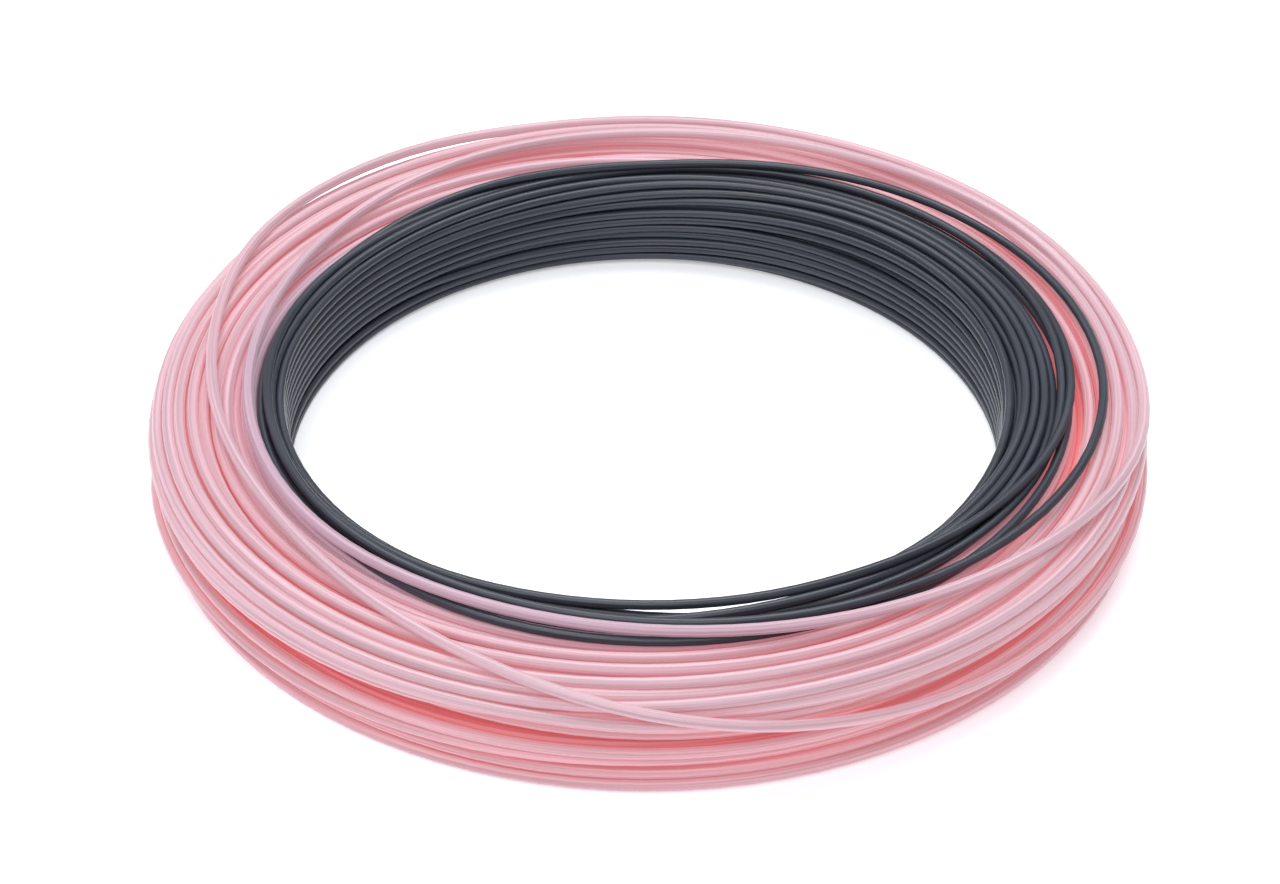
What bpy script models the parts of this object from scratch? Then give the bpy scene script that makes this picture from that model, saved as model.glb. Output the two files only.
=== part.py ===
"""Fly line coil: about 37 m of coated fly line, wound and laid down without its spool.

The line is one continuous piece: a dark sinking head, wound first and so innermost, and a pale
running line outside and under it, with a welded loop at each end. Each wound stretch is one closed
ring of the coil's outer shape, and each turn that lies loose on top of it is a tube of its own.
Run it with: blender --background --python part.py
"""
import math

import bmesh
import bpy
from mathutils import Vector

MM = 0.001

# The line, in millimetres
RUNNING_DIAMETER = 1.5
HEAD_DIAMETER = 1.25
HEAD_LENGTH = 9140.0

# The coil, in millimetres
OUTER_DIAMETER = 134.6
EYE_WIDTH = 96.4
EYE_DEPTH = 94.0
EYE_SHIFT = 1.0
COIL_HEIGHT = 14.4
FLOOR_SINK = 0.1
CORNER_POWER = 6.0
PINCH_DEPTH = 2.6
PINCH_AZIMUTH = 160.0
PINCH_SPREAD = 25.0

# The head's share of the coil
HEAD_PACKING = 0.72
HEAD_FOOT_ANGLE = 230.0

# The welded end loops, in millimetres
LOOP_LENGTH = 10.0
LOOP_WIDTH = 4.4
WELD_LENGTH = 9.0
WELD_WALL = 0.15
TAIL_LENGTH = 14.0

# Room between pieces that touch, in millimetres
CLEARANCE = 0.3

# How finely the rings and tubes are drawn
RING_STATIONS = 72
BOUNDARY_POINTS = 16
SECTOR_POINTS = 12
TUBE_STEP_IN_DIAMETERS = 2.8

# How far outward the head has slumped over the running line: azimuth and section angle in degrees,
# where section angle 0 points outward, 90 up and 180 towards the eye
HEAD_CREST = [(0, 60), (20, 59), (40, 63), (60, 76), (80, 100), (100, 119), (125, 125), (160, 126),
              (190, 124), (220, 122), (250, 121), (275, 108), (295, 89), (320, 82), (340, 70)]

# Routes of the loose turns: azimuth and section angle in degrees, counted round the coil
OUTER_TURN_ROUTE = [(103, 55), (116, 51), (128, 45), (140, 45), (151, 51), (161, 64), (172, 79),
                    (183, 89), (194, 97), (206, 103), (219, 100), (232, 88), (245, 72), (256, 56),
                    (267, 40), (276, 26), (286, 12), (296, 0), (307, -9), (320, -12), (332, -14),
                    (343, -18)]
UPPER_TURN_ROUTE = [(112, 75), (121, 82), (133, 90), (146, 98), (160, 107), (173, 112), (187, 115),
                    (202, 115), (216, 113), (231, 111), (245, 113), (257, 112), (271, 107),
                    (287, 98), (300, 88), (310, 78), (319, 68), (327, 58), (335, 48), (343, 35),
                    (351, 20)]
HEAD_TURN_ROUTE = [(92, 122), (80, 114), (66, 101), (53, 89), (40, 81), (26, 74), (11, 69), (-2, 67),
                   (-13, 70), (-23, 76), (-32, 81), (-40, 87), (-49, 94), (-59, 100), (-71, 107),
                   (-88, 116), (-103, 122), (-118, 123), (-134, 123), (-149, 125), (-161, 128)]

# Where the end loops lie on the table: azimuth where each weld meets its loop
FRONT_LOOP_AZIMUTH = 260.0
REAR_LOOP_AZIMUTH = 136.0

COLLECTION = "fly_line_coil"


# ---------------------------------------------------------------------------- scene and material
def clear_scene():
    for old in list(bpy.data.objects):
        bpy.data.objects.remove(old, do_unlink=True)


def new_collection(name):
    collection = bpy.data.collections.new(name)
    bpy.context.scene.collection.children.link(collection)
    return collection


def line_material(name, colour, roughness):
    material = bpy.data.materials.new(name)
    material.use_nodes = True
    shader = material.node_tree.nodes["Principled BSDF"]
    shader.inputs["Base Color"].default_value = (*colour, 1.0)
    shader.inputs["Roughness"].default_value = roughness
    shader.inputs["Metallic"].default_value = 0.0
    return material


def add_object(name, data, collection, material):
    obj = bpy.data.objects.new(name, data)
    obj.data.materials.append(material)
    collection.objects.link(obj)
    return obj


# ---------------------------------------------------------------------------- the coil's section
def blend_table(table, azimuth):
    """Smooth closed curve through (azimuth, value) pairs, by Catmull-Rom."""
    count = len(table)
    azimuth %= 360.0
    after = next((i for i, (a, _) in enumerate(table) if a > azimuth), 0)
    picks = [table[(after + k) % count] for k in (-2, -1, 0, 1)]
    start, end = picks[1][0], picks[2][0]
    share = ((azimuth - start) % 360.0) / ((end - start) % 360.0)
    return catmull_rom([value for _, value in picks], share)


def catmull_rom(four, share):
    before, start, end, after = four
    bend = (2 * before - 5 * start + 4 * end - after) * share ** 2
    twist = (3 * start - before - 3 * end + after) * share ** 3
    return 0.5 * (2 * start + (end - before) * share + bend + twist)


def section_at(azimuth):
    """Centre radius, half width, centre height and half height of the coil at an azimuth."""
    turned = math.radians(azimuth)
    eye = math.hypot(EYE_WIDTH * math.cos(turned), EYE_DEPTH * math.sin(turned)) / 2
    eye -= EYE_SHIFT * math.sin(turned)
    off_pinch = (azimuth - PINCH_AZIMUTH + 180.0) % 360.0 - 180.0
    pinch = PINCH_DEPTH * math.exp(-(off_pinch / PINCH_SPREAD) ** 2)
    outer = OUTER_DIAMETER / 2 - pinch
    half_height = (COIL_HEIGHT + FLOOR_SINK) / 2
    return (outer + eye) / 2, (outer - eye) / 2, half_height - FLOOR_SINK, half_height


def on_section(azimuth, angle, depth=0.0):
    """Radius and height of the point at a section angle, a depth under the coil's surface."""
    radius, half_width, height, half_height = section_at(azimuth)
    out, up = math.cos(math.radians(angle)), math.sin(math.radians(angle))
    reach = (abs(out) ** CORNER_POWER + abs(up) ** CORNER_POWER) ** (-1 / CORNER_POWER)
    return radius + (half_width - depth) * reach * out, height + (half_height - depth) * reach * up


def section_length(azimuth, start, end, pieces=24):
    walk = [on_section(azimuth, start + (end - start) * i / pieces) for i in range(pieces + 1)]
    return sum(math.dist(a, b) for a, b in zip(walk, walk[1:]))


def angle_for_gap(azimuth, angle, gap):
    """Section angle that covers a gap along the coil's surface at a section angle."""
    step = 2.0
    return gap * 2 * step / section_length(azimuth, angle - step, angle + step)


def spread(start, end, count):
    return [start + (end - start) * i / (count - 1) for i in range(count)]


def head_limits(azimuth):
    """Section angles of the head's crest and foot, and how deep it lies under the surface."""
    crest = blend_table(HEAD_CREST, azimuth)
    middle_radius = (OUTER_DIAMETER + EYE_WIDTH + EYE_DEPTH) / 6
    turns = HEAD_LENGTH / (2 * math.pi * middle_radius)
    area = turns * math.pi * HEAD_DIAMETER ** 2 / 4 / HEAD_PACKING
    depth = area / section_length(azimuth, crest, HEAD_FOOT_ANGLE)
    return crest, HEAD_FOOT_ANGLE, depth


def head_outline(azimuth):
    crest, foot, depth = head_limits(azimuth)
    outside = [on_section(azimuth, a) for a in spread(crest, foot, SECTOR_POINTS)]
    inside = [on_section(azimuth, a, depth) for a in spread(foot, crest, SECTOR_POINTS)]
    return outside + inside


def running_outline(azimuth):
    crest, foot, depth = head_limits(azimuth)
    crest -= angle_for_gap(azimuth, crest, CLEARANCE)
    foot += angle_for_gap(azimuth, foot, CLEARANCE)
    bed = [on_section(azimuth, a, depth + CLEARANCE) for a in spread(crest, foot, SECTOR_POINTS)]
    outside = [on_section(azimuth, a) for a in spread(foot, 360.0 + crest, BOUNDARY_POINTS)]
    return bed + outside


def place(azimuth, radius, height):
    turned = math.radians(azimuth)
    return Vector((radius * math.cos(turned), radius * math.sin(turned), height)) * MM


def ring(name, outline, collection, material):
    """Closed ring through an outline that changes round the coil, with a flat underside."""
    mesh = bmesh.new()
    loops = []
    for station in range(RING_STATIONS):
        azimuth = 360.0 * station / RING_STATIONS
        points = [place(azimuth, radius, max(height, 0.0)) for radius, height in outline(azimuth)]
        loops.append([mesh.verts.new(point) for point in points])
    for near, far in zip(loops, loops[1:] + loops[:1]):
        for i in range(len(near)):
            j = (i + 1) % len(near)
            mesh.faces.new((near[i], near[j], far[j], far[i]))
    bmesh.ops.recalc_face_normals(mesh, faces=mesh.faces)
    data = bpy.data.meshes.new(name)
    mesh.to_mesh(data)
    mesh.free()
    return add_object(name, data, collection, material)


# ---------------------------------------------------------------------------- tubes and end loops
def smooth_route(route, step):
    """Points about a step apart on a smooth curve through a list of points."""
    ends = [route[0] * 2 - route[1], *route, route[-1] * 2 - route[-2]]
    fine = []
    for i in range(1, len(ends) - 2):
        fine += [catmull_rom(ends[i - 1:i + 3], share / 24) for share in range(24)]
    fine.append(route[-1])
    walked = [0.0]
    for a, b in zip(fine, fine[1:]):
        walked.append(walked[-1] + (b - a).length)
    count = max(2, round(walked[-1] / step)) + 1
    points = []
    at = 0
    for want in spread(0.0, walked[-1], count):
        while at < len(walked) - 2 and walked[at + 1] < want:
            at += 1
        points.append(fine[at].lerp(fine[at + 1], (want - walked[at]) / (walked[at + 1] - walked[at])))
    return points


def tube(name, points, diameter, collection, material):
    curve = bpy.data.curves.new(name, "CURVE")
    curve.dimensions = "3D"
    curve.bevel_depth = diameter / 2 * MM
    curve.bevel_resolution = 2
    curve.use_fill_caps = True
    spline = curve.splines.new("POLY")
    spline.points.add(len(points) - 1)
    for target, point in zip(spline.points, points):
        target.co = (*point, 1.0)
    return add_object(name, curve, collection, material)


def loose_turn(name, route, diameter, collection, material):
    """A turn that lies on the coil's surface, a clearance above it."""
    lift = -(diameter / 2 + CLEARANCE)
    knots = [place(azimuth, *on_section(azimuth, angle, lift)) for azimuth, angle in route]
    step = TUBE_STEP_IN_DIAMETERS * diameter * MM
    return tube(name, smooth_route(knots, step), diameter, collection, material)


def beside_coil(azimuth, side, along, off_wall, height):
    """Point along the coil's wall from an azimuth, at a distance off the wall and a height.

    side is 1 outside the coil and -1 in its eye. The line winds from the eye outward with rising
    azimuth, so its inner end points back along the wall and its outer end points on.
    """
    start_radius, half_width, _, _ = section_at(azimuth)
    azimuth += math.degrees(side * along / (start_radius + side * half_width))
    radius, half_width, _, _ = section_at(azimuth)
    return place(azimuth, radius + side * (half_width + off_wall), height)


def end_loop(name, azimuth, side, diameter, collection, material):
    """Teardrop loop that lies on the table: out from the weld, round, and back to the weld."""
    leg = (diameter + WELD_WALL) / 2
    reach = LOOP_LENGTH - diameter / 2
    half = (LOOP_WIDTH - diameter) / 2
    flank = [(CLEARANCE, leg), (0.25 * reach, leg + 0.4 * (half - leg)), (0.6 * reach, half),
             (0.88 * reach, 0.7 * half)]
    outline = flank + [(reach, 0.0)] + [(along, -across) for along, across in reversed(flank)]
    middle = CLEARANCE + LOOP_WIDTH / 2
    knots = [beside_coil(azimuth, side, along, middle + across, diameter / 2)
             for along, across in outline]
    return tube(name, smooth_route(knots, diameter * MM), diameter, collection, material)


def loop_weld(name, azimuth, side, diameter, collection, material):
    """Where the line's end is folded back and welded to itself: a flat oval with soft ends."""
    mesh = bmesh.new()
    bmesh.ops.create_uvsphere(mesh, u_segments=20, v_segments=12, radius=1.0)
    half_length = WELD_LENGTH / 2
    middle = CLEARANCE + LOOP_WIDTH / 2
    for vert in mesh.verts:
        reach = rounded_end(vert.co.z)
        swell = (1 - reach ** 6) ** 0.5
        ring_size = math.hypot(vert.co.x, vert.co.y) or 1.0
        across = vert.co.x / ring_size * swell * (diameter + WELD_WALL)
        up = vert.co.y / ring_size * swell * (diameter / 2 + WELD_WALL)
        along = (reach - 1) * half_length
        height = diameter / 2 + WELD_WALL + up
        vert.co = beside_coil(azimuth, side, along, middle + across, height)
    mesh.normal_update()
    bmesh.ops.recalc_face_normals(mesh, faces=mesh.faces)
    data = bpy.data.meshes.new(name)
    mesh.to_mesh(data)
    mesh.free()
    return add_object(name, data, collection, material)


def rounded_end(share):
    """Spread a sphere's rings toward its two ends, so that the middle stays even."""
    return math.copysign(min(1.0, abs(share)) ** 0.5, share)


def line_tail(name, azimuth, side, diameter, collection, material):
    """The line's last free stretch, from the coil's wall to the weld."""
    snug = CLEARANCE + diameter / 2
    middle = CLEARANCE + LOOP_WIDTH / 2
    end = -WELD_LENGTH - CLEARANCE
    shape = [(0.0, middle), (0.25, middle), (0.5, (middle + snug) / 2), (0.8, snug), (1.0, snug)]
    knots = [beside_coil(azimuth, side, end - share * TAIL_LENGTH, off_wall, diameter / 2)
             for share, off_wall in shape]
    return tube(name, smooth_route(knots, diameter * 2 * MM), diameter, collection, material)


def welded_end(name, azimuth, side, diameter, collection, material):
    end_loop(name + "_end_loop", azimuth, side, diameter, collection, material)
    loop_weld(name + "_loop_weld", azimuth, side, diameter, collection, material)
    line_tail(name + "_tail", azimuth, side, diameter, collection, material)


# ---------------------------------------------------------------------------- assembly
def centre_on_origin(collection):
    """Hang every piece on one empty, and move it so that the whole box stands on the origin."""
    hub = bpy.data.objects.new("coil_centre", None)
    collection.objects.link(hub)
    pieces = [obj for obj in collection.objects if obj is not hub]
    bpy.context.view_layer.update()
    corners = []
    graph = bpy.context.evaluated_depsgraph_get()
    for piece in pieces:
        solid = piece.evaluated_get(graph).to_mesh()
        corners += [vert.co.copy() for vert in solid.vertices]
        piece.parent = hub
    low = Vector([min(corner[i] for corner in corners) for i in range(3)])
    high = Vector([max(corner[i] for corner in corners) for i in range(3)])
    hub.location = (-(low.x + high.x) / 2, -(low.y + high.y) / 2, -low.z)
    bpy.context.view_layer.update()


def build():
    clear_scene()
    collection = new_collection(COLLECTION)
    pink = line_material("running_line_coating", (0.85, 0.55, 0.60), 0.38)
    dark = line_material("head_coating", (0.045, 0.048, 0.055), 0.42)
    ring("running_line_coil", running_outline, collection, pink)
    ring("head_coil", head_outline, collection, dark)
    loose_turn("running_line_outer_turn", OUTER_TURN_ROUTE, RUNNING_DIAMETER, collection, pink)
    loose_turn("running_line_upper_turn", UPPER_TURN_ROUTE, RUNNING_DIAMETER, collection, pink)
    loose_turn("head_upper_turn", HEAD_TURN_ROUTE, HEAD_DIAMETER, collection, dark)
    welded_end("head", FRONT_LOOP_AZIMUTH, -1, HEAD_DIAMETER, collection, dark)
    welded_end("running_line", REAR_LOOP_AZIMUTH, 1, RUNNING_DIAMETER, collection, pink)
    centre_on_origin(collection)


build()
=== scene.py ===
"""Looks of a coil of fly line that lies on a pale table, off its spool.

The dark sinking head is wound first and so lies innermost; the pale running line is wound over it.
All sizes here are in millimetres until a mesh is made, which is in metres as the frame is.
"""
import math

import bpy
import numpy as np
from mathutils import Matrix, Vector


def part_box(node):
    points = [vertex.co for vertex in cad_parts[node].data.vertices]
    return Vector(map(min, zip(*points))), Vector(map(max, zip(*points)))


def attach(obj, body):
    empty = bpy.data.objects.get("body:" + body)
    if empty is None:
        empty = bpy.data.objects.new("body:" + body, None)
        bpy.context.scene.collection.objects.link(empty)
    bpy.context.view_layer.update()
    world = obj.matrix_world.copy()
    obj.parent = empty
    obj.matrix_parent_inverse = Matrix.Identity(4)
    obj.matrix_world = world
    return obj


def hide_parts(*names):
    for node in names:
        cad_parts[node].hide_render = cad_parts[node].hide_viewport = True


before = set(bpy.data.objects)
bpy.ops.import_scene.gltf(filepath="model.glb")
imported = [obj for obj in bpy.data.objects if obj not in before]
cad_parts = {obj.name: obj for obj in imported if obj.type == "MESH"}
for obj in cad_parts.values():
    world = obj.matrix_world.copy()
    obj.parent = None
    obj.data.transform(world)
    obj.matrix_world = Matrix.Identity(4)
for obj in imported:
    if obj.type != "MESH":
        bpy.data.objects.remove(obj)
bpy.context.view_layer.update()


# ---------------------------------------------------------------------------- the winding
# A fly line is one length of coated braid, wound turn on turn and laid down. Nothing holds the
# turns: each rests on those under it, so they drift from their lanes, cross and leave small gaps.
MM = 0.001
HEAD_DIAMETER = 1.25
RUNNING_DIAMETER = 1.5
HEAD_LENGTH = 9140.0
RUNNING_LENGTH = 27430.0

EYE_WIDTH = 96.4
EYE_DEPTH = 94.0
EYE_SHIFT = 1.0
FLOOR_SINK = 0.1
CORNER_POWER = 6.0
PINCH_DEPTH = 2.6
PINCH_AZIMUTH = 160.0
PINCH_SPREAD = 25.0

coil_low, coil_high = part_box("running_line_coil")
OUTER_RADIUS = (coil_high[1] - coil_low[1]) / 2 / MM
COIL_HEIGHT = coil_high[2] / MM
CENTRE_X = coil_high[0] / MM - OUTER_RADIUS
CENTRE_Y = (coil_high[1] + coil_low[1]) / 2 / MM

STATIONS = 100
STATION_STEP = 360.0 / STATIONS
HEAD_START = 290.0
RUNNING_END = 115.0
HEAD_MEAN_RADIUS = 51.5
RUNNING_MEAN_RADIUS = 58.8

# The head's lanes run up its wall from the foot to a crest that has slumped outward over the
# running line: azimuth and section angle, where 0 points outward, 90 up and 180 towards the eye
HEAD_FOOT = 230.0
HEAD_CREST = [(0, 74), (20, 71), (40, 74), (60, 83), (80, 104), (100, 122), (125, 127), (160, 128),
              (190, 126), (220, 124), (250, 123), (275, 116), (295, 102), (320, 92), (340, 82)]
HEAD_LANES = 14.0
HEAD_LOWEST = 0.035
HEAD_REACH = 0.93
HEAD_PACKING = 0.72
HEAD_LAYER_STEP = 0.87
HEAD_FULL_WALK = 15.5

# The running line's turns go up and down in rows, column by column towards the outer wall
RUNNING_ROWS = 8.06
RUNNING_COLUMNS = 9
RUNNING_FIRST_TURN = 0.35
CROWD_TO_TOP = 0.8

# Turns that lie loose on top, by azimuth and section angle in the order in which they are wound
HEAD_INNER_TURN = [(199, 128), (212, 129), (226, 128), (240, 128), (257, 131), (269, 131),
                   (286, 128), (301, 124), (314, 118), (326, 112)]
HEAD_FRONT_TURN = [(228, 118), (239, 112), (250, 107), (262, 104), (275, 103), (288, 102),
                   (300, 99), (312, 94)]
HEAD_UPPER_TURN = [(199, 128), (211, 125), (226, 123), (242, 123), (257, 122), (272, 116),
                   (289, 107), (301, 100), (311, 94), (320, 87), (328, 81), (337, 76), (347, 70),
                   (358, 67), (371, 69), (386, 74), (400, 81), (413, 89), (426, 101), (440, 114),
                   (452, 122)]
RUNNING_UPPER_TURN = [(112, 75), (121, 82), (133, 90), (146, 98), (160, 107), (173, 112),
                      (187, 115), (202, 115), (216, 113), (231, 111), (245, 113), (257, 112),
                      (271, 107), (287, 98), (300, 88), (310, 78), (319, 68), (327, 58),
                      (335, 50), (343, 44), (351, 38)]
RUNNING_OUTER_TURN = [(103, 60), (116, 51), (128, 43), (140, 44), (151, 51), (161, 64),
                      (172, 79), (183, 89), (194, 97), (206, 103), (219, 100), (232, 88),
                      (245, 72), (256, 56), (267, 40), (276, 26), (286, 12), (296, 0), (307, -9),
                      (320, -12), (332, -14), (343, -18)]

# How far the turns wander from their lanes, as a share of the lane and over how many stations
HEAD_WANDER, HEAD_LAYER_WANDER, HEAD_WANDER_STATIONS = 0.045, 0.16, 25
RUNNING_COLUMN_WANDER, RUNNING_ROW_WANDER, RUNNING_WANDER_STATIONS = 0.4, 0.11, 28
STEP_OVER = 0.9    # share of a pass after which the line steps over to the next layer

chance = np.random.default_rng(7)


def section_at(azimuth):
    """Centre radius, half width, centre height and half height of the coil at an azimuth."""
    turned = np.radians(azimuth)
    eye = np.hypot(EYE_WIDTH * np.cos(turned), EYE_DEPTH * np.sin(turned)) / 2
    eye = eye - EYE_SHIFT * np.sin(turned)
    off_pinch = (azimuth - PINCH_AZIMUTH + 180.0) % 360.0 - 180.0
    outer = OUTER_RADIUS - PINCH_DEPTH * np.exp(-(off_pinch / PINCH_SPREAD) ** 2)
    half_height = (COIL_HEIGHT + FLOOR_SINK) / 2
    return (outer + eye) / 2, (outer - eye) / 2, half_height - FLOOR_SINK, half_height


def on_section(azimuth, angle, depth):
    """Radius and height of the point at a section angle, a depth under the coil's surface."""
    radius, half_width, height, half_height = section_at(azimuth)
    out, up = np.cos(np.radians(angle)), np.sin(np.radians(angle))
    reach = (np.abs(out) ** CORNER_POWER + np.abs(up) ** CORNER_POWER) ** (-1 / CORNER_POWER)
    return radius + (half_width - depth) * reach * out, height + (half_height - depth) * reach * up


def up_the_wall(azimuth, crest, share, depth):
    """Point part of the way from the head's foot to its crest, and the length of that walk."""
    angles = HEAD_FOOT + (crest - HEAD_FOOT) * np.linspace(0.0, 1.0, 25)[:, None]
    radius, height = on_section(azimuth[None, :], angles, 0.0)
    paces = np.hypot(np.diff(radius, axis=0), np.diff(height, axis=0))
    walked = np.vstack([np.zeros(len(azimuth)), np.cumsum(paces, axis=0)])
    reached = [np.interp(share[i] * walked[-1, i], walked[:, i], angles[:, i])
               for i in range(len(azimuth))]
    return *on_section(azimuth, np.array(reached), depth), walked[-1]


def drift(count, every, spread):
    """Slow random wandering along the line, smooth over about every so many stations."""
    knots = chance.normal(0.0, spread, count // every + 3)
    raw = np.interp(np.arange(count) / every, np.arange(len(knots)), knots)
    window = np.hanning(every | 1)
    window /= window.sum()
    return np.convolve(np.pad(raw, len(window) // 2, mode="edge"), window, "valid")[:count]


def step_over(passes):
    """Whole passes done, stepping over smoothly to the next near the end of each."""
    return np.floor(passes) + np.clip((passes % 1 - STEP_OVER) / 0.1, 0.0, 1.0)


def follow(route, azimuth):
    """Section angle along a route, smooth through its knots."""
    knots, values = np.array(route, float).T
    start = np.clip(np.searchsorted(knots, azimuth, side="right") - 1, 0, len(knots) - 2)
    share = (azimuth - knots[start]) / (knots[start + 1] - knots[start])
    a, b = values[np.clip(start - 1, 0, None)], values[start]
    c, d = values[start + 1], values[np.clip(start + 2, None, len(values) - 1)]
    bend = (2 * a - 5 * b + 4 * c - d) * share ** 2 + (3 * b - a - 3 * c + d) * share ** 3
    return 0.5 * (2 * b + (c - a) * share + bend)


# Stations are counted along the whole line; the station's remainder is its place round the coil
first = round(HEAD_START / STATION_STEP)
head_count = round(HEAD_LENGTH / (2 * math.pi * HEAD_MEAN_RADIUS) * STATIONS)
last = first + head_count + round(RUNNING_LENGTH / (2 * math.pi * RUNNING_MEAN_RADIUS) * STATIONS)
last += round((RUNNING_END / STATION_STEP - last + STATIONS / 2) % STATIONS - STATIONS / 2)
station = np.arange(first, last)
azimuth = station * STATION_STEP
is_head = np.arange(len(station)) < head_count
diameter = np.where(is_head, HEAD_DIAMETER, RUNNING_DIAMETER)
section_radius, half_width, _, _ = section_at(azimuth)
eye_wall, outer_wall = section_radius - half_width, section_radius + half_width

# The head climbs and comes down its wall, almost one thickness further in each time
crest = np.interp(azimuth % 360.0, *np.array(HEAD_CREST, float).T, period=360.0)
climb = np.arange(head_count) / STATIONS / HEAD_LANES
share = HEAD_LOWEST + HEAD_REACH * (1 - np.abs(climb % 2 - 1))
share = np.clip(share + drift(head_count, HEAD_WANDER_STATIONS, HEAD_WANDER), 0.03, 0.985)
layer = step_over(climb)
layer = np.clip(layer + drift(head_count, HEAD_WANDER_STATIONS, HEAD_LAYER_WANDER), 0.0, None)
head_azimuth, head_top = azimuth[:head_count], crest[:head_count]
walk = up_the_wall(head_azimuth, head_top, share, 0.0)[2]
nested = HEAD_LAYER_STEP * layer * np.clip(HEAD_FULL_WALK / walk, 0.45, 1.0)
layer_depth = HEAD_DIAMETER * (0.5 + nested)
head_radius, head_height, _ = up_the_wall(head_azimuth, head_top, share, layer_depth)

# The running line fills the room between the head and the outer wall, row by row
turns = np.arange(len(station) - head_count) / STATIONS
rows = (turns + RUNNING_FIRST_TURN) / RUNNING_ROWS
wander = RUNNING_COLUMN_WANDER / RUNNING_COLUMNS
outward = step_over(rows) / (RUNNING_COLUMNS - 1)
outward = np.clip(outward + drift(len(turns), RUNNING_WANDER_STATIONS, wander), 0.0, 1.0)
upward = 1 - np.abs(rows % 2 - 1)
upward = upward + drift(len(turns), RUNNING_WANDER_STATIONS, RUNNING_ROW_WANDER)
upward = np.clip(upward, 0.0, 1.0) ** CROWD_TO_TOP
run = slice(head_count, None)
walk = up_the_wall(azimuth[run], crest[run], np.zeros(len(turns)), 0.0)[2]
head_depth = head_count / STATIONS * math.pi * HEAD_DIAMETER ** 2 / 4 / HEAD_PACKING / walk
inmost = eye_wall[run] + head_depth + RUNNING_DIAMETER / 2
run_radius = inmost + (outer_wall[run] - RUNNING_DIAMETER / 2 - inmost) * outward
crest_radius = on_section(azimuth[run], crest[run], 0.0)[0]
under_head = 1 / (1 + np.exp((run_radius - crest_radius - 0.2) / 0.5))
ceiling = COIL_HEIGHT - RUNNING_DIAMETER / 2 - head_depth * under_head
run_height = RUNNING_DIAMETER / 2 + (ceiling - RUNNING_DIAMETER / 2) * upward

home_radius = np.concatenate([head_radius, run_radius])
home_height = np.concatenate([head_height, run_height])

# How strongly a turn is drawn back to its place at each pass of settling, sideways and upwards
LANE_HOLD, LANE_HOLD_UP, LOOSE_HOLD, END_HOLD = 0.03, 0.012, 0.3, 0.35
LOOSE_HOLD_ON_TOP, LOOSE_HOLD_ON_SIDE = 0.02, 0.28
hold = np.full(len(station), LANE_HOLD)
hold_up = np.full(len(station), LANE_HOLD_UP)


def lay_loose(route, turns_in, first_station, last_station, thickness, lead, lead_out, proud=1.0):
    """Bring one turn off its lane, over a lead in degrees, and lay it on top along a route.

    The turn is the one that is turns_in from the stretch's start, or from its end where that is
    negative. It stands proud of the coil's surface by that share of its thickness, less a half.
    """
    passes = [i for i in range(first_station, last_station)
              if abs((azimuth[i] - route[0][0] + 180) % 360 - 180) < STATION_STEP / 2 + 1e-6]
    unwound = azimuth - azimuth[passes[turns_in]] + route[0][0]
    on = (unwound >= route[0][0] - lead) & (unwound <= route[-1][0] + lead_out)
    angle = follow(route, np.clip(unwound[on], route[0][0], route[-1][0]))
    coming, leaving = unwound[on] - route[0][0] + lead, route[-1][0] + lead_out - unwound[on]
    blend = np.clip(np.minimum(coming / lead, leaving / lead_out), 0.0, 1.0)
    blend = blend ** 2 * (3 - 2 * blend)
    radius, height = on_section(azimuth[on], angle, thickness * (0.5 - proud * blend))
    home_radius[on] = home_radius[on] * (1 - blend) + radius * blend
    home_height[on] = home_height[on] * (1 - blend) + height * blend
    hold[on] = np.maximum(hold[on], LOOSE_HOLD * blend ** 2)
    on_side = np.clip((60 - angle) / 15, 0.0, 1.0)
    firmness = LOOSE_HOLD_ON_TOP + LOOSE_HOLD_ON_SIDE * on_side
    hold_up[on] = np.maximum(hold_up[on], firmness * blend ** 2)


lay_loose(HEAD_UPPER_TURN, 13, 0, head_count, HEAD_DIAMETER, 60.0, 30.0)
lay_loose(HEAD_INNER_TURN, 12, 0, head_count, HEAD_DIAMETER, 50.0, 25.0)
lay_loose(HEAD_FRONT_TURN, 14, 0, head_count, HEAD_DIAMETER, 40.0, 30.0, proud=0.5)
lay_loose(RUNNING_UPPER_TURN, -3, head_count, len(station), RUNNING_DIAMETER, 150.0, 16.0)
lay_loose(RUNNING_OUTER_TURN, -2, head_count, len(station), RUNNING_DIAMETER, 16.0, 20.0)

# Each end leaves the coil low down, the head's in the eye and the running line's outside
END_GAP = 0.3
HEAD_PEEL_STATIONS = 9.0
RUNNING_PEEL_STATIONS = 22.0
peel = np.clip(1 - np.arange(len(station)) / HEAD_PEEL_STATIONS, 0.0, 1.0) ** 2
peel_off = np.clip(1 - np.arange(len(station))[::-1] / RUNNING_PEEL_STATIONS, 0.0, 1.0)
peel_off = peel_off ** 2 * (3 - 2 * peel_off)
home_radius += peel * (eye_wall - END_GAP - HEAD_DIAMETER / 2 - home_radius)
home_height += peel * (HEAD_DIAMETER / 2 - home_height)
home_radius += peel_off * (outer_wall + END_GAP + RUNNING_DIAMETER / 2 - home_radius)
home_height += peel_off * (RUNNING_DIAMETER / 2 - home_height)
for ends in (peel, peel_off):
    hold = np.maximum(hold, END_HOLD * (ends > 0))
    hold_up = np.maximum(hold_up, END_HOLD * (ends > 0))

coil_turns = int(station[-1] // STATIONS) + 1


def by_turn(values):
    """The same values laid out as one row for each turn and one column for each place round it."""
    table = np.zeros(coil_turns * STATIONS, np.float32)
    table[station] = values
    return table.reshape(coil_turns, STATIONS)


present = by_turn(1.0)
reach = (by_turn(diameter)[:, None, :] + by_turn(diameter)[None, :, :]) / 2
reach *= present[:, None, :] * present[None, :, :]
reach[np.arange(coil_turns), np.arange(coil_turns), :] = 0.0

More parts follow.
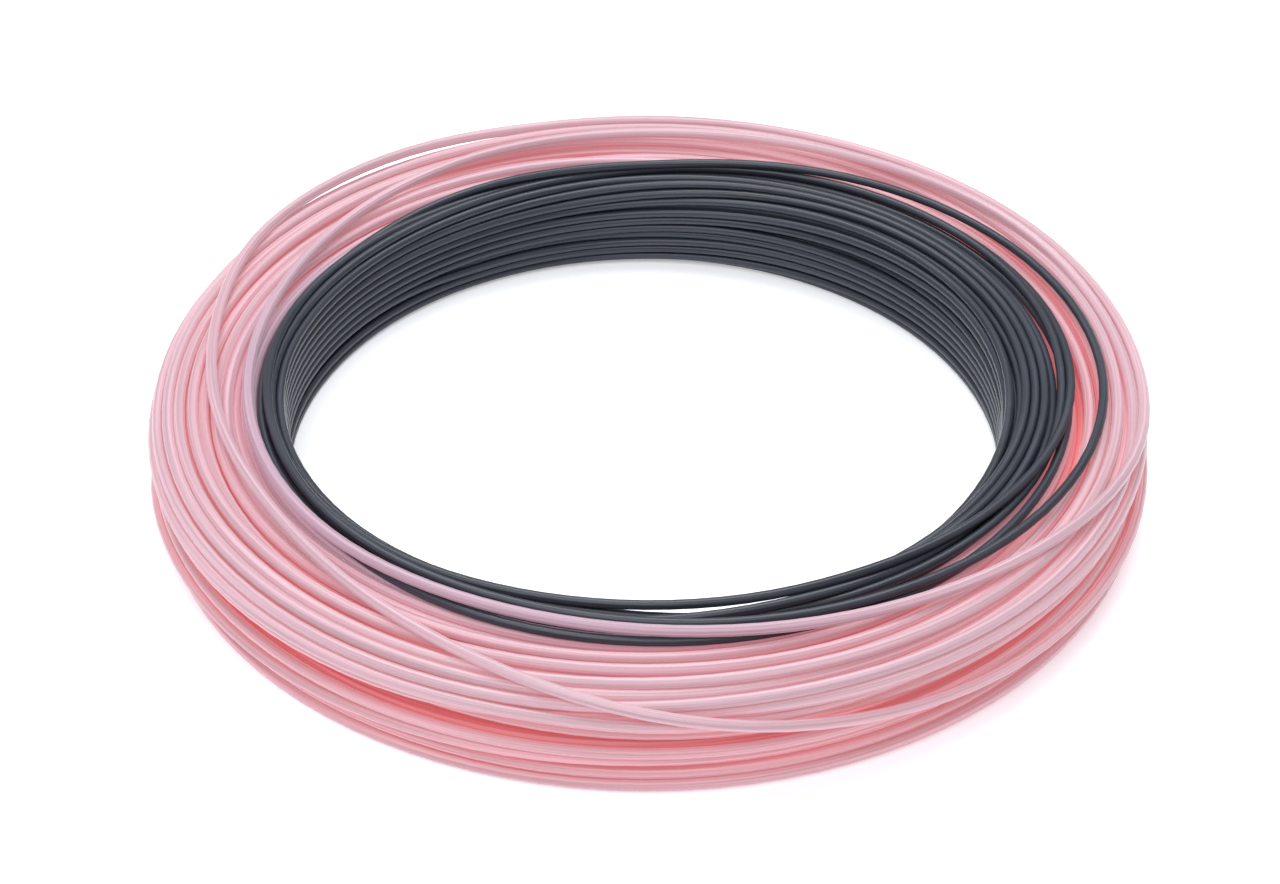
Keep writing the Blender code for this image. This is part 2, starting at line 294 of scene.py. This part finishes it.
# Turns are pushed apart, drawn back to their places, sag and are smoothed along the line. Each
# stage is its passes, the line's stiffness, how much of the hold acts, and the sag of one pass
SETTLING = ((150, 0.6, 1.0, 0.004), (150, 0.6, 0.25, 0.003), (60, 0.5, 0.1, 0.0))
PUSH_APART = 0.34
FREE_BELOW = 0.05
OUTER_GIVE = 0.35    # a turn that crosses another at the outer wall stands out this much past it
free = hold < FREE_BELOW
radius, height = home_radius.copy(), home_height.copy()
for passes, bending, homing, weight in SETTLING:
    for _ in range(passes):
        across, up = by_turn(radius), by_turn(height)
        across, up = across[:, None, :] - across[None, :, :], up[:, None, :] - up[None, :, :]
        apart = np.sqrt(across * across + up * up) + 1e-5
        push = PUSH_APART * np.clip(reach - apart, 0.0, None) / apart
        radius += (push * across).sum(1).reshape(-1)[station]
        height += (push * up).sum(1).reshape(-1)[station]
        radius += homing * hold * (home_radius - radius)
        height += homing * hold_up * (home_height - height) - weight
        for values in (radius, height):
            values[1:-1] += bending * (values[:-2] + values[2:] - 2 * values[1:-1]) / 2
        inside = np.clip(radius, eye_wall + diameter / 2,
                         outer_wall - diameter / 2 + OUTER_GIVE)
        radius = np.where(free, inside, radius)
        height = np.maximum(height, diameter / 2)


# ---------------------------------------------------------------------------- the head
# The sinking head is a braided core in a soft polyurethane coating filled with tungsten powder,
# extruded round and satin. It is wound first, so it lines the eye, and it has slumped outward.
def place(azimuth, radius, height):
    """Points in millimetres from their azimuth, radius and height."""
    turned = np.radians(azimuth)
    return np.stack(np.broadcast_arrays(CENTRE_X + radius * np.cos(turned),
                                        CENTRE_Y + radius * np.sin(turned), height), axis=-1)


def beside_coil(azimuth, side, along, off_wall, height):
    """Points along the coil's wall from an azimuth, at a distance off the wall and a height."""
    radius, half, _, _ = section_at(azimuth)
    azimuth = azimuth + np.degrees(side * np.asarray(along) / (radius + side * half))
    radius, half, _, _ = section_at(azimuth)
    return place(azimuth, radius + side * (half + off_wall), height)


def add_node(tree, kind, inputs=None, **settings):
    """Add a node with its settings, and give each input a value or a link."""
    node = tree.nodes.new(kind)
    for setting, value in settings.items():
        setattr(node, setting, value)
    for socket, value in (inputs or {}).items():
        if isinstance(value, bpy.types.NodeSocket):
            tree.links.new(value, node.inputs[socket])
        else:
            node.inputs[socket].default_value = value
    return node


def colour(code):
    """Linear colour from an sRGB hex value."""
    parts = [int(code[i:i + 2], 16) / 255 for i in (1, 3, 5)]
    return (*[p / 12.92 if p <= 0.04045 else ((p + 0.055) / 1.055) ** 2.4 for p in parts], 1.0)


tube_tree = bpy.data.node_groups.new("coated_line", "GeometryNodeTree")
tube_sockets = {name: tube_tree.interface.new_socket(name, in_out="INPUT", socket_type=kind)
                for name, kind in (("Centre line", "NodeSocketGeometry"),
                                   ("Line radius", "NodeSocketFloat"),
                                   ("Sides", "NodeSocketInt"),
                                   ("Coating", "NodeSocketMaterial"))}
tube_tree.interface.new_socket("Line", in_out="OUTPUT", socket_type="NodeSocketGeometry")
given = add_node(tube_tree, "NodeGroupInput")
centre_curve = add_node(tube_tree, "GeometryNodeMeshToCurve",
                        {"Mesh": given.outputs["Centre line"]})
upright = add_node(tube_tree, "GeometryNodeSetCurveNormal", {"Curve": centre_curve.outputs[0]},
                   mode="Z_UP")
round_edge = add_node(tube_tree, "GeometryNodeCurvePrimitiveCircle",
                      {"Resolution": given.outputs["Sides"],
                       "Radius": given.outputs["Line radius"]}, mode="RADIUS")
skin = add_node(tube_tree, "GeometryNodeCurveToMesh",
                {"Curve": upright.outputs[0], "Profile Curve": round_edge.outputs[0],
                 "Fill Caps": True})
soft = add_node(tube_tree, "GeometryNodeSetShadeSmooth", {"Geometry": skin.outputs[0]})
whole = add_node(tube_tree, "GeometryNodeRealizeInstances", {"Geometry": soft.outputs[0]})
coated = add_node(tube_tree, "GeometryNodeSetMaterial",
                  {"Geometry": whole.outputs[0], "Material": given.outputs["Coating"]})
add_node(tube_tree, "NodeGroupOutput", {"Line": coated.outputs[0]})


def coat_line(name, points, thickness, sides, coating):
    """A round coated line along points, and the centres of its rings, both in metres."""
    core = bpy.data.meshes.new(name + "_core")
    core.from_pydata([tuple(p) for p in points * MM],
                     [(i, i + 1) for i in range(len(points) - 1)], [])
    order = core.attributes.new("order", "FLOAT", "POINT")
    order.data.foreach_set("value", np.arange(len(points), dtype=np.float32))
    carrier = bpy.data.objects.new(name + "_core", core)
    bpy.context.scene.collection.objects.link(carrier)
    tube = carrier.modifiers.new("coating", "NODES")
    tube.node_group = tube_tree
    for socket, value in (("Line radius", thickness / 2 * MM), ("Sides", sides),
                          ("Coating", coating)):
        tube[tube_sockets[socket].identifier] = value
    graph = bpy.context.evaluated_depsgraph_get()
    skin = bpy.data.meshes.new_from_object(carrier.evaluated_get(graph))
    bpy.data.objects.remove(carrier)
    skin.name = name
    piece = bpy.data.objects.new(name, skin)
    bpy.context.scene.collection.objects.link(piece)
    verts = np.empty(len(skin.vertices) * 3)
    skin.vertices.foreach_get("co", verts)
    rings = verts.reshape(len(points), sides, 3)
    orders = np.empty(len(skin.vertices))
    skin.attributes["order"].data.foreach_get("value", orders)
    rings_in_order = rings if orders[0] < orders[-1] else rings[::-1]
    wrap_pattern(skin, sides, orders, points)
    return piece, rings_in_order.mean(axis=1)


def wrap_pattern(skin, sides, orders, points):
    """A UV map that unrolls the coating: once round is 1 across, and a millimetre is 1 up."""
    walked = np.concatenate([[0.0], np.cumsum(np.linalg.norm(np.diff(points, axis=0), axis=1))])
    corners = np.empty(len(skin.loops), int)
    skin.loops.foreach_get("vertex_index", corners)
    round_place = (corners % sides) / sides
    starts = np.empty(len(skin.polygons), int)
    skin.polygons.foreach_get("loop_start", starts)
    quads = starts[np.diff(np.append(starts, len(corners))) == 4]
    quad_corners = quads[:, None] + np.arange(4)
    turns = round_place[quad_corners]
    turns += (turns.max(axis=1, keepdims=True) - turns > 0.5)
    round_place[quad_corners] = turns
    along = walked[np.round(orders[corners]).astype(int)]
    pattern = skin.uv_layers.new(name="unrolled")
    pattern.data.foreach_set("uv", np.stack([round_place, along], axis=1).ravel())


SIDE_LIGHT = 0.35     # light that comes in level, as a share of what comes from above or below
SOAK_DEPTH = 2.2      # millimetres of line that cut the light in it to about a third
DARK_REACH = 2.2      # millimetres over which a dark turn beneath paints a pale one mauve, as painted shade
DARK_FULL = 3.0       # so many dark turns right beneath, and touching, give the whole painted mauve shade


def daylight(points, rings):
    """How much light reaches each point through the turns around it, and how near dark turns lie.

    Light soaks through a few millimetres of line, and comes from the table as well as from above,
    so each way out counts by how much line is in it.
    """
    radii = np.hypot(points[:, 0] - CENTRE_X, points[:, 1] - CENTRE_Y)
    azimuths = np.degrees(np.arctan2(points[:, 1] - CENTRE_Y, points[:, 0] - CENTRE_X))
    own_radii = np.hypot(rings[:, 0] - CENTRE_X, rings[:, 1] - CENTRE_Y)
    slots = np.round(azimuths / STATION_STEP).astype(int) % STATIONS
    all_radii, all_heights, sizes = by_turn(radius), by_turn(height), by_turn(diameter) / 2
    dark = by_turn(is_head)
    bared, by_dark = np.ones(len(points)), np.zeros(len(points))
    ways = np.radians(np.linspace(-45, 225, 17))    # 0 is outward and 90 is up
    for slot in range(STATIONS):
        here = np.flatnonzero(slots == slot)
        size = sizes[None, :, slot]
        out = all_radii[None, :, slot] - radii[here, None]
        up = all_heights[None, :, slot] - points[here, 2, None]
        light, weight = 0.0, 0.0
        for way in ways:
            along = out * math.cos(way) + up * math.sin(way)
            beside = out * math.sin(way) - up * math.cos(way)
            half = np.sqrt(np.clip(size * size - beside * beside, 0.0, None))
            soaked = np.clip(along + half, 0.0, None) - np.clip(along - half, 0.0, None)
            share = SIDE_LIGHT + (1 - SIDE_LIGHT) * abs(math.sin(way))
            light = light + share * np.exp(-soaked.sum(axis=1) / SOAK_DEPTH)
            weight += share
        bared[here] = light / weight
        # painted see-through shade: how much mauve to paint on a pale turn where dark turns lie
        # right beneath it
        out = all_radii[None, :, slot] - own_radii[here, None]
        up = all_heights[None, :, slot] - rings[here, 2, None]
        apart = np.hypot(out, up) + 1e-6
        gap = np.clip(apart - size - RUNNING_DIAMETER / 2, 0.0, None)
        under = np.clip(0.35 - up / apart, 0.0, 1.0) * dark[None, :, slot]
        painted_see_through_shade = (under * np.exp(-gap / DARK_REACH)).sum(axis=1) / DARK_FULL
        by_dark[here] = np.clip(painted_see_through_shade, 0.0, 1.0)
    return bared, by_dark


def mark_daylight(piece, centres, sides):
    """Store the light that reaches each point of a wound piece for its material to read."""
    skin = piece.data
    verts = np.empty(len(skin.vertices) * 3)
    skin.vertices.foreach_get("co", verts)
    points = verts.reshape(-1, 3) / MM
    rings = points.reshape(-1, sides, 3).mean(axis=1).repeat(sides, axis=0)
    for name, values in zip(("bared", "by_dark"), daylight(points, rings)):
        stored = skin.attributes.new(name, "FLOAT", "POINT")
        stored.data.foreach_set("value", values.astype(np.float32))


# Tungsten-filled polyurethane, extruded: charcoal, satin, with very fine lengthwise drawing marks
# and a soft grain. The eye sees a dull blue-grey line of light along each turn and no hard glint.
head_coating = bpy.data.materials.new("tungsten_filled_polyurethane")
head_coating.use_nodes = True
tree = head_coating.node_tree
shader = tree.nodes["Principled BSDF"]
spread = add_node(tree, "ShaderNodeUVMap", uv_map="unrolled")
# a drawing mark is 0.2 mm wide, and is made twice as wide and 25 mm long so that it shows
drawn = add_node(tree, "ShaderNodeMapping", {"Vector": spread.outputs[0],
                                             "Scale": (10.0, 0.04, 1.0)})
marks = add_node(tree, "ShaderNodeTexNoise", {"Vector": drawn.outputs[0], "Scale": 1.0,
                                              "Detail": 3.0, "Roughness": 0.6})
where = add_node(tree, "ShaderNodeTexCoord")
# powder grain of 0.3 mm
grain = add_node(tree, "ShaderNodeTexNoise", {"Vector": where.outputs["Object"],
                                              "Scale": 1 / (0.3 * MM), "Detail": 2.0})
shades = add_node(tree, "ShaderNodeValToRGB", {"Fac": marks.outputs["Fac"]})
for stop, position, code in zip(shades.color_ramp.elements, (0.3, 0.7), ("#22262F", "#3F4450")):
    stop.position, stop.color = position, colour(code)
gloss = add_node(tree, "ShaderNodeMapRange", {"Value": marks.outputs["Fac"], "From Min": 0.3,
                                              "From Max": 0.7, "To Min": 0.30, "To Max": 0.38})
relief = add_node(tree, "ShaderNodeBump", {"Height": grain.outputs["Fac"], "Strength": 0.12,
                                           "Distance": 0.03 * MM})
tree.links.new(shades.outputs["Color"], shader.inputs["Base Color"])
tree.links.new(gloss.outputs["Result"], shader.inputs["Roughness"])
tree.links.new(relief.outputs["Normal"], shader.inputs["Normal"])
shader.inputs["IOR"].default_value = 1.5
shader.inputs["Specular IOR Level"].default_value = 0.45

# The welded loop at the front end lies in the eye: weld, then a short tail back to the wall
LOOP_LENGTH = 10.0
LOOP_WIDTH = 4.4
WELD_LENGTH = 9.0
WELD_WALL = 0.15
GROOVE_DEPTH = 0.16    # share of the weld's half height
GROOVE_WIDTH = 0.3     # share of its half width
TAIL_LENGTH = 14.0
FRONT_LOOP_AZIMUTH = 260.0
SIDES = 12


def tail_points(azimuth, side, thickness):
    """The free stretch between the weld and the coil's wall, from inside the weld outwards."""
    snug, middle = END_GAP + thickness / 2, END_GAP + LOOP_WIDTH / 2
    share = np.array([-0.55, -0.3, 0.0, 0.15, 0.3, 0.45, 0.6, 0.75, 0.9])
    off_wall = np.interp(share, [0.25, 0.5, 0.8], [middle, (middle + snug) / 2, snug])
    along = -WELD_LENGTH - END_GAP - share * TAIL_LENGTH
    return beside_coil(azimuth, side, along, off_wall, thickness / 2)


def ease(points, start, stop):
    """Take the kinks out of a stretch of line."""
    for _ in range(12):
        points[start:stop] += 0.4 * (points[start - 1:stop - 1] + points[start + 1:stop + 1]
                                     - 2 * points[start:stop]) / 2
    return points


wound = place(azimuth, radius, height)
head_path = np.vstack([tail_points(FRONT_LOOP_AZIMUTH, -1, HEAD_DIAMETER), wound[:head_count + 1]])
head_path = ease(head_path, 4, 16)
head_line, head_centres = coat_line("head_line", head_path, HEAD_DIAMETER, SIDES, head_coating)
mark_daylight(head_line, head_centres, SIDES)


def teardrop(azimuth, side, thickness):
    """Centre line of a welded loop, both legs starting inside the weld."""
    leg, reach = (thickness + WELD_WALL) / 2, LOOP_LENGTH - thickness / 2
    half = (LOOP_WIDTH - thickness) / 2
    flank = [(-1.5, leg), (END_GAP, leg), (0.25 * reach, leg + 0.4 * (half - leg)),
             (0.6 * reach, half), (0.88 * reach, 0.7 * half)]
    knots = np.array(flank + [(reach, 0.0)] + [(a, -b) for a, b in reversed(flank)])
    padded = np.vstack([2 * knots[0] - knots[1], knots, 2 * knots[-1] - knots[-2]])
    fine = []
    for a, b, c, d in zip(padded, padded[1:], padded[2:], padded[3:]):
        for share in np.arange(0.0, 1.0, 0.125):
            bend = (2 * a - 5 * b + 4 * c - d) * share ** 2 + (3 * b - a - 3 * c + d) * share ** 3
            fine.append(0.5 * (2 * b + (c - a) * share + bend))
    along, across = np.array(fine + [knots[-1]]).T
    return beside_coil(azimuth, side, along, END_GAP + LOOP_WIDTH / 2 + across, thickness / 2)


def weld_sleeve(name, azimuth, side, thickness, coating):
    """The doubled line under one melted skin: a flat oval with a shallow groove on each side."""
    rings, round_count = 33, 24
    share = np.linspace(-1.0, 1.0, rings)
    swell = (1 - np.abs(share) ** 6) ** 0.5
    swell[[0, -1]] = 0.02
    turn = np.linspace(0.0, 2 * math.pi, round_count, endpoint=False)
    across = np.outer(swell, np.cos(turn)) * (thickness + WELD_WALL)
    groove = 1 - GROOVE_DEPTH * np.exp(-(np.cos(turn) / GROOVE_WIDTH) ** 2)
    up = np.outer(swell, np.sin(turn) * groove) * (thickness / 2 + WELD_WALL)
    along = np.repeat((share[:, None] - 1) * WELD_LENGTH / 2, round_count, axis=1)
    middle = END_GAP + LOOP_WIDTH / 2
    points = beside_coil(azimuth, side, along, middle + across, thickness / 2 + WELD_WALL + up)
    points = points.reshape(-1, 3) * MM
    faces = [tuple(range(round_count)), tuple((rings - 1) * round_count + k
                                              for k in reversed(range(round_count)))]
    for ring in range(rings - 1):
        for k in range(round_count):
            a, b = ring * round_count + k, ring * round_count + (k + 1) % round_count
            faces.append((a, a + round_count, b + round_count, b))
    skin = bpy.data.meshes.new(name)
    skin.from_pydata([tuple(p) for p in points], [], faces)
    skin.shade_smooth()
    piece = bpy.data.objects.new(name, skin)
    piece.data.materials.append(coating)
    bpy.context.scene.collection.objects.link(piece)
    turn_outwards(skin)
    pattern = skin.uv_layers.new(name="unrolled")
    for corner in skin.loops:
        ring, k = divmod(corner.vertex_index, round_count)
        pattern.data[corner.index].uv = (k / round_count, ring * WELD_LENGTH / rings)
    return piece


def turn_outwards(skin):
    """Turn the faces of a closed mesh so that they point out."""
    volume = 0.0
    for face in skin.polygons:
        corners = [skin.vertices[i].co for i in face.vertices]
        for b, c in zip(corners[1:], corners[2:]):
            volume += corners[0].dot(b.cross(c))
    if volume < 0:
        skin.flip_normals()


# painted light share of a turn that lies in the open
OPEN_DAYLIGHT = 0.82


def fully_bared(piece):
    """An end loop lies in the open, so the whole of it gets the painted light share of a turn in
    the open and no painted mauve shade.
    """
    for name, value in (("bared", OPEN_DAYLIGHT), ("by_dark", 0.0)):
        values = np.full(len(piece.data.vertices), value, np.float32)
        piece.data.attributes.new(name, "FLOAT", "POINT").data.foreach_set("value", values)


head_loop, _ = coat_line("head_loop", teardrop(FRONT_LOOP_AZIMUTH, -1, HEAD_DIAMETER),
                         HEAD_DIAMETER, 16, head_coating)
head_weld = weld_sleeve("head_weld", FRONT_LOOP_AZIMUTH, -1, HEAD_DIAMETER, head_coating)
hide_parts("head_end_loop")
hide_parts("head_loop_weld")
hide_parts("head_coil", "head_upper_turn", "head_tail")
for piece in (head_line, head_loop, head_weld):
    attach(piece, "root")


# ---------------------------------------------------------------------------- the running line
# The running line is the long back part: braid in clear plasticised PVC that is tinted pale pink.
# It is wound over the head, and its own welded loop lies on the table behind the coil.
REAR_LOOP_AZIMUTH = 136.0

# Plasticised PVC, extruded: pale pink and milky. Light soaks through it from turn to turn; that is
# painted into its colour: a turn in the open is painted nearly white-pink and one deep in the coil
# is painted coral, as painted shade; over the dark head it is painted mauve, a painted shade for
# the dark line seen through it. A low sheen and a soft gloss give each turn its pale edges.
running_coating = bpy.data.materials.new("tinted_pvc")
running_coating.use_nodes = True
tree = running_coating.node_tree
shader = tree.nodes["Principled BSDF"]
bared = add_node(tree, "ShaderNodeAttribute", attribute_name="bared")
by_dark = add_node(tree, "ShaderNodeAttribute", attribute_name="by_dark")
# painted shade: this ramp colours each point by the share of light that reaches it, coral where
# little gets in, pale pink in the open
depth = add_node(tree, "ShaderNodeValToRGB", {"Fac": bared.outputs["Fac"]})
ramp = depth.color_ramp
ramp.elements[0].position, ramp.elements[0].color = 0.02, colour("#C04E57")
ramp.elements[1].position, ramp.elements[1].color = 0.88, colour("#AC929C")
for position, code in ((0.20, "#C4585B"), (0.33, "#C4757A"), (0.46, "#BE8A91"),
                       (0.64, "#B5929B")):
    ramp.elements.new(position).color = colour(code)
# painted see-through shade: mix the pink towards mauve where dark turns of the head lie beneath
mauve = add_node(tree, "ShaderNodeMath", {0: by_dark.outputs["Fac"], 1: 0.85},
                 operation="MULTIPLY")
over_head = add_node(tree, "ShaderNodeMix", {"Factor": mauve.outputs[0],
                                             "A": depth.outputs["Color"], "B": colour("#A08797")},
                     data_type="RGBA")
spread = add_node(tree, "ShaderNodeUVMap", uv_map="unrolled")
# the braid under the coating shows as soft streaks about 0.3 mm wide and 50 mm long
streaked = add_node(tree, "ShaderNodeMapping", {"Vector": spread.outputs[0],
                                                "Scale": (14.0, 0.02, 1.0)})
streaks = add_node(tree, "ShaderNodeTexNoise", {"Vector": streaked.outputs[0], "Scale": 1.0,
                                                "Detail": 2.0, "Roughness": 0.5})
streak_tone = add_node(tree, "ShaderNodeMapRange", {"Value": streaks.outputs["Fac"],
                                                    "From Min": 0.36, "From Max": 0.64,
                                                    "To Min": 0.80, "To Max": 1.12})
toned = add_node(tree, "ShaderNodeVectorMath", {0: over_head.outputs["Result"],
                                                1: streak_tone.outputs["Result"]},
                 operation="MULTIPLY")
gloss = add_node(tree, "ShaderNodeMapRange", {"Value": streaks.outputs["Fac"], "From Min": 0.3,
                                              "From Max": 0.7, "To Min": 0.32, "To Max": 0.42})
where = add_node(tree, "ShaderNodeTexCoord")
# faint ripple of the extruded skin, 0.6 mm from crest to crest
ripple = add_node(tree, "ShaderNodeTexNoise", {"Vector": where.outputs["Object"],
                                               "Scale": 1 / (0.6 * MM), "Detail": 1.0})
relief = add_node(tree, "ShaderNodeBump", {"Height": ripple.outputs["Fac"], "Strength": 0.1,
                                           "Distance": 0.03 * MM})
tree.links.new(toned.outputs[0], shader.inputs["Base Color"])
tree.links.new(gloss.outputs["Result"], shader.inputs["Roughness"])
tree.links.new(relief.outputs["Normal"], shader.inputs["Normal"])
# painted light: the coating glows in its own colour, standing in for light carried inside the
# line, so it is never dark underneath
tree.links.new(toned.outputs[0], shader.inputs["Emission Color"])
shader.inputs["Emission Strength"].default_value = 0.5
shader.inputs["IOR"].default_value = 1.52
shader.inputs["Subsurface Weight"].default_value = 0.3
shader.inputs["Subsurface Radius"].default_value = (1.0, 0.5, 0.5)
shader.inputs["Subsurface Scale"].default_value = 0.8 * MM
shader.inputs["Sheen Weight"].default_value = 0.35
shader.inputs["Sheen Roughness"].default_value = 0.25

running_path = np.vstack([wound[head_count:],
                          tail_points(REAR_LOOP_AZIMUTH, 1, RUNNING_DIAMETER)[::-1]])
running_path = ease(running_path, -16, -4)
running_line, running_centres = coat_line("running_line", running_path, RUNNING_DIAMETER, SIDES,
                                          running_coating)
mark_daylight(running_line, running_centres, SIDES)
running_loop, _ = coat_line("running_loop", teardrop(REAR_LOOP_AZIMUTH, 1, RUNNING_DIAMETER),
                            RUNNING_DIAMETER, 16, running_coating)
running_weld = weld_sleeve("running_weld", REAR_LOOP_AZIMUTH, 1, RUNNING_DIAMETER, running_coating)
fully_bared(running_loop)
fully_bared(running_weld)
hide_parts("running_line_end_loop")
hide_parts("running_line_loop_weld")
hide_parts("running_line_coil", "running_line_outer_turn",
            "running_line_upper_turn", "running_line_tail")
for piece in (running_line, running_loop, running_weld):
    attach(piece, "root")


# ---------------------------------------------------------------------------- the table and light
# A plain white table top in a light tent: soft light from all round, with a panel above and behind
# and a weaker one in front, so that the coil throws a faint shadow into its eye.
table = bpy.data.meshes.new("table")
TABLE_HALF = 3.0
corners = [(x * TABLE_HALF, y * TABLE_HALF, 0.0) for x, y in ((-1, -1), (1, -1), (1, 1), (-1, 1))]
table.from_pydata(corners, [], [(0, 1, 2, 3)])
table_top = bpy.data.objects.new("table", table)
bpy.context.scene.collection.objects.link(table_top)
board = bpy.data.materials.new("white_matt_board")
board.use_nodes = True
shader = board.node_tree.nodes["Principled BSDF"]
shader.inputs["Base Color"].default_value = colour("#ECEFF5")
shader.inputs["Roughness"].default_value = 0.7
shader.inputs["Specular IOR Level"].default_value = 0.1
shader.inputs["Emission Color"].default_value = (1.0, 1.0, 1.0, 1.0)
shader.inputs["Emission Strength"].default_value = 0.32
table_top.data.materials.append(board)

tent = bpy.data.worlds.new("light_tent")
tent.use_nodes = True
tent.node_tree.nodes["Background"].inputs["Color"].default_value = (1.0, 1.0, 1.0, 1.0)
tent.node_tree.nodes["Background"].inputs["Strength"].default_value = 0.45
bpy.context.scene.world = tent


def soft_light(name, spot, size, watts):
    """A soft rectangular light that is aimed at the middle of the coil's eye."""
    lamp = bpy.data.lights.new(name, "AREA")
    lamp.shape, lamp.size, lamp.size_y, lamp.energy = "RECTANGLE", size[0], size[1], watts
    lit = bpy.data.objects.new(name, lamp)
    lit.location = spot
    towards_eye = Vector((0.0, 0.0, 0.0)) - Vector(spot)
    lit.rotation_euler = towards_eye.to_track_quat("-Z", "Y").to_euler()
    bpy.context.scene.collection.objects.link(lit)


soft_light("overhead_panel", (0.0, 0.35, 0.85), (0.9, 0.5), 7.0)
soft_light("front_panel", (-0.2, -0.45, 0.75), (0.8, 0.6), 4.0)

camera_data = bpy.data.cameras.new("camera")
camera_data.lens = 81.34
camera_data.sensor_width = 36.0
camera = bpy.data.objects.new("camera", camera_data)
bpy.context.scene.collection.objects.link(camera)
CAMERA_DISTANCE = 400.0
CAMERA_TILT = 37.3
target = Vector((CENTRE_X - 0.5, CENTRE_Y + 2.2, 0.0)) * MM
tilt = math.radians(CAMERA_TILT)
camera.location = target + Vector((0.0, -math.cos(tilt), math.sin(tilt))) * CAMERA_DISTANCE * MM
camera.rotation_euler = (target - camera.location).to_track_quat("-Z", "Y").to_euler()
bpy.context.scene.camera = camera
bpy.context.scene.view_settings.view_transform = "Standard"
